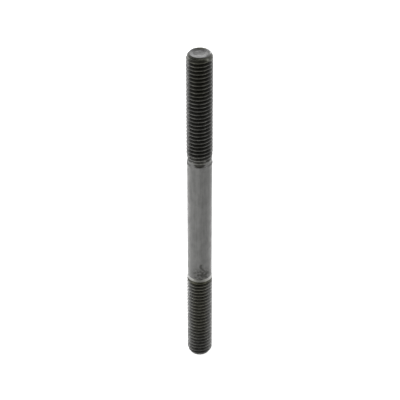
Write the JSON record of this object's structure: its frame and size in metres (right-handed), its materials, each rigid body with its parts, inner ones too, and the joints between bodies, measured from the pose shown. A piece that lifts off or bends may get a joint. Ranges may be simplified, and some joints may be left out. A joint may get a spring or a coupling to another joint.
{
  "type": "double ended stud",
  "caption": "Double ended steel stud: blackened threads at both ends, a plain satin shank between them, bevelled ends and a dished upper end face.",
  "frame": {"origin": "middle of the lower end face", "axes": "+Z along the stud's axis, from the lower thread to the upper thread; X and Y across the axis, with -Y facing the viewer"},
  "size_m": [0.008, 0.008, 0.1115],
  "materials": {
    "stud_steel": "dark oxide on the threads, satin grey on the shank, bare metal on the bevel between them"
  },
  "bodies": {
    "root": {"stud": "stud_steel"}
  },
  "joints": []
}
